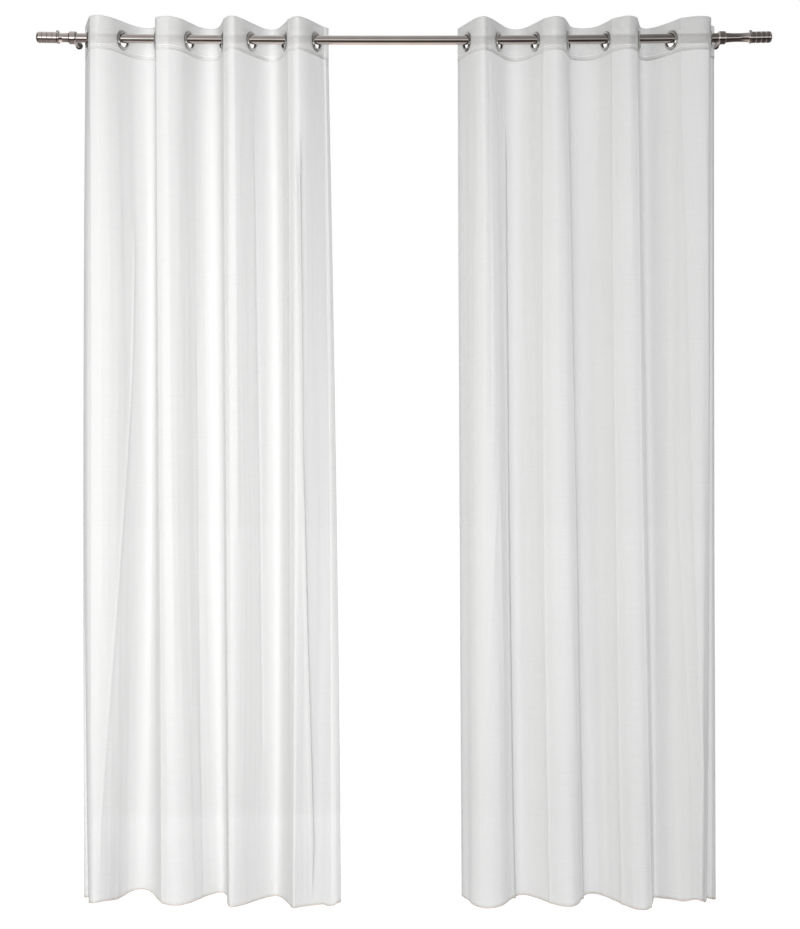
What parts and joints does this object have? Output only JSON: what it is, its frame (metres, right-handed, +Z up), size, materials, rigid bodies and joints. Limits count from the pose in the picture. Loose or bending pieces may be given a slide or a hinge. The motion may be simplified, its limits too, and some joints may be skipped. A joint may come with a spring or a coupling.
{
  "type": "sheer voile eyelet curtain with its curtain rod",
  "caption": "Pair of long sheer voile panels with eyelet headings, hung in soft upright folds from a round metal rod with grooved finials on wall brackets.",
  "frame": {"origin": "centre of the back face of the left bracket's wall plate, at the height of the rod's axis there", "axes": "+Z up, +Y from the room to the wall, +X along the rod to the right as seen from the room"},
  "size_m": [2.0297, 0.1837, 2.4357],
  "materials": {
    "voile": "thin plain woven sheer polyester, white",
    "voile_double": "the same voile folded double and stiffened, white",
    "nickel": "satin nickel plating on steel",
    "eyelet_metal": "bright plated ring",
    "dark_nickel": "darker satin nickel plating"
  },
  "bodies": {
    "root": {"rod": "nickel", "finial_left": "dark_nickel", "finial_right": "dark_nickel", "bracket_left": "dark_nickel", "bracket_right": "dark_nickel", "voile_left": "voile", "heading_left": "voile_double", "eyelet_left_1": "eyelet_metal", "eyelet_left_2": "eyelet_metal", "eyelet_left_3": "eyelet_metal", "eyelet_left_4": "eyelet_metal", "eyelet_left_5": "eyelet_metal", "eyelet_left_6": "eyelet_metal", "eyelet_left_7": "eyelet_metal", "eyelet_left_8": "eyelet_metal", "voile_right": "voile", "heading_right": "voile_double", "eyelet_right_1": "eyelet_metal", "eyelet_right_2": "eyelet_metal", "eyelet_right_3": "eyelet_metal", "eyelet_right_4": "eyelet_metal", "eyelet_right_5": "eyelet_metal", "eyelet_right_6": "eyelet_metal", "eyelet_right_7": "eyelet_metal", "eyelet_right_8": "eyelet_metal"}
  },
  "joints": []
}
